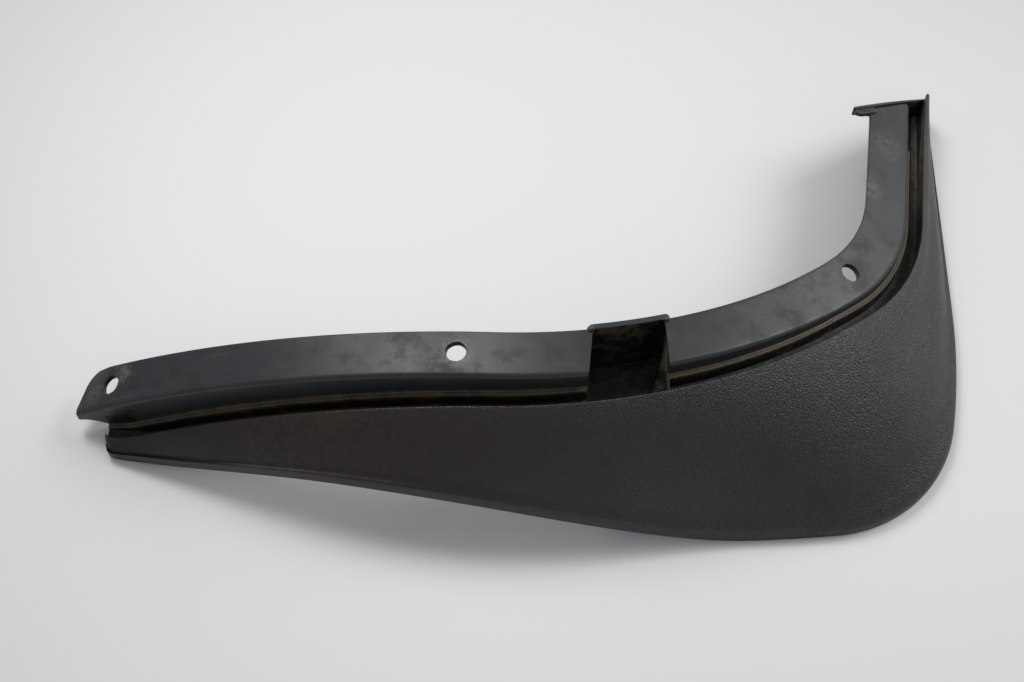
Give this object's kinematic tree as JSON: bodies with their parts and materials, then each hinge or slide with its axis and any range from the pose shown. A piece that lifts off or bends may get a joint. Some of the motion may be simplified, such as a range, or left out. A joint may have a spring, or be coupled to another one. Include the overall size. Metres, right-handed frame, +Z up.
{
  "type": "mudguard",
  "caption": "One-piece moulded car mudguard: a drilled flange on the wheel arch, a slot for the fender's edge, a clip pocket and a broad grained flap that bends round the corner.",
  "frame": {"origin": "centre of the bounding box's bottom, on the surface that the mudguard lies on", "axes": "+X along the flange's long run, +Y from the flap towards the arm, +Z up from the table"},
  "size_m": [0.386, 0.2208, 0.067],
  "materials": {
    "black_plastic": "black moulded plastic, satin on the flange and leather-grained on the show face, dusty in the slot"
  },
  "bodies": {
    "root": {"mudguard": "black_plastic"}
  },
  "joints": []
}
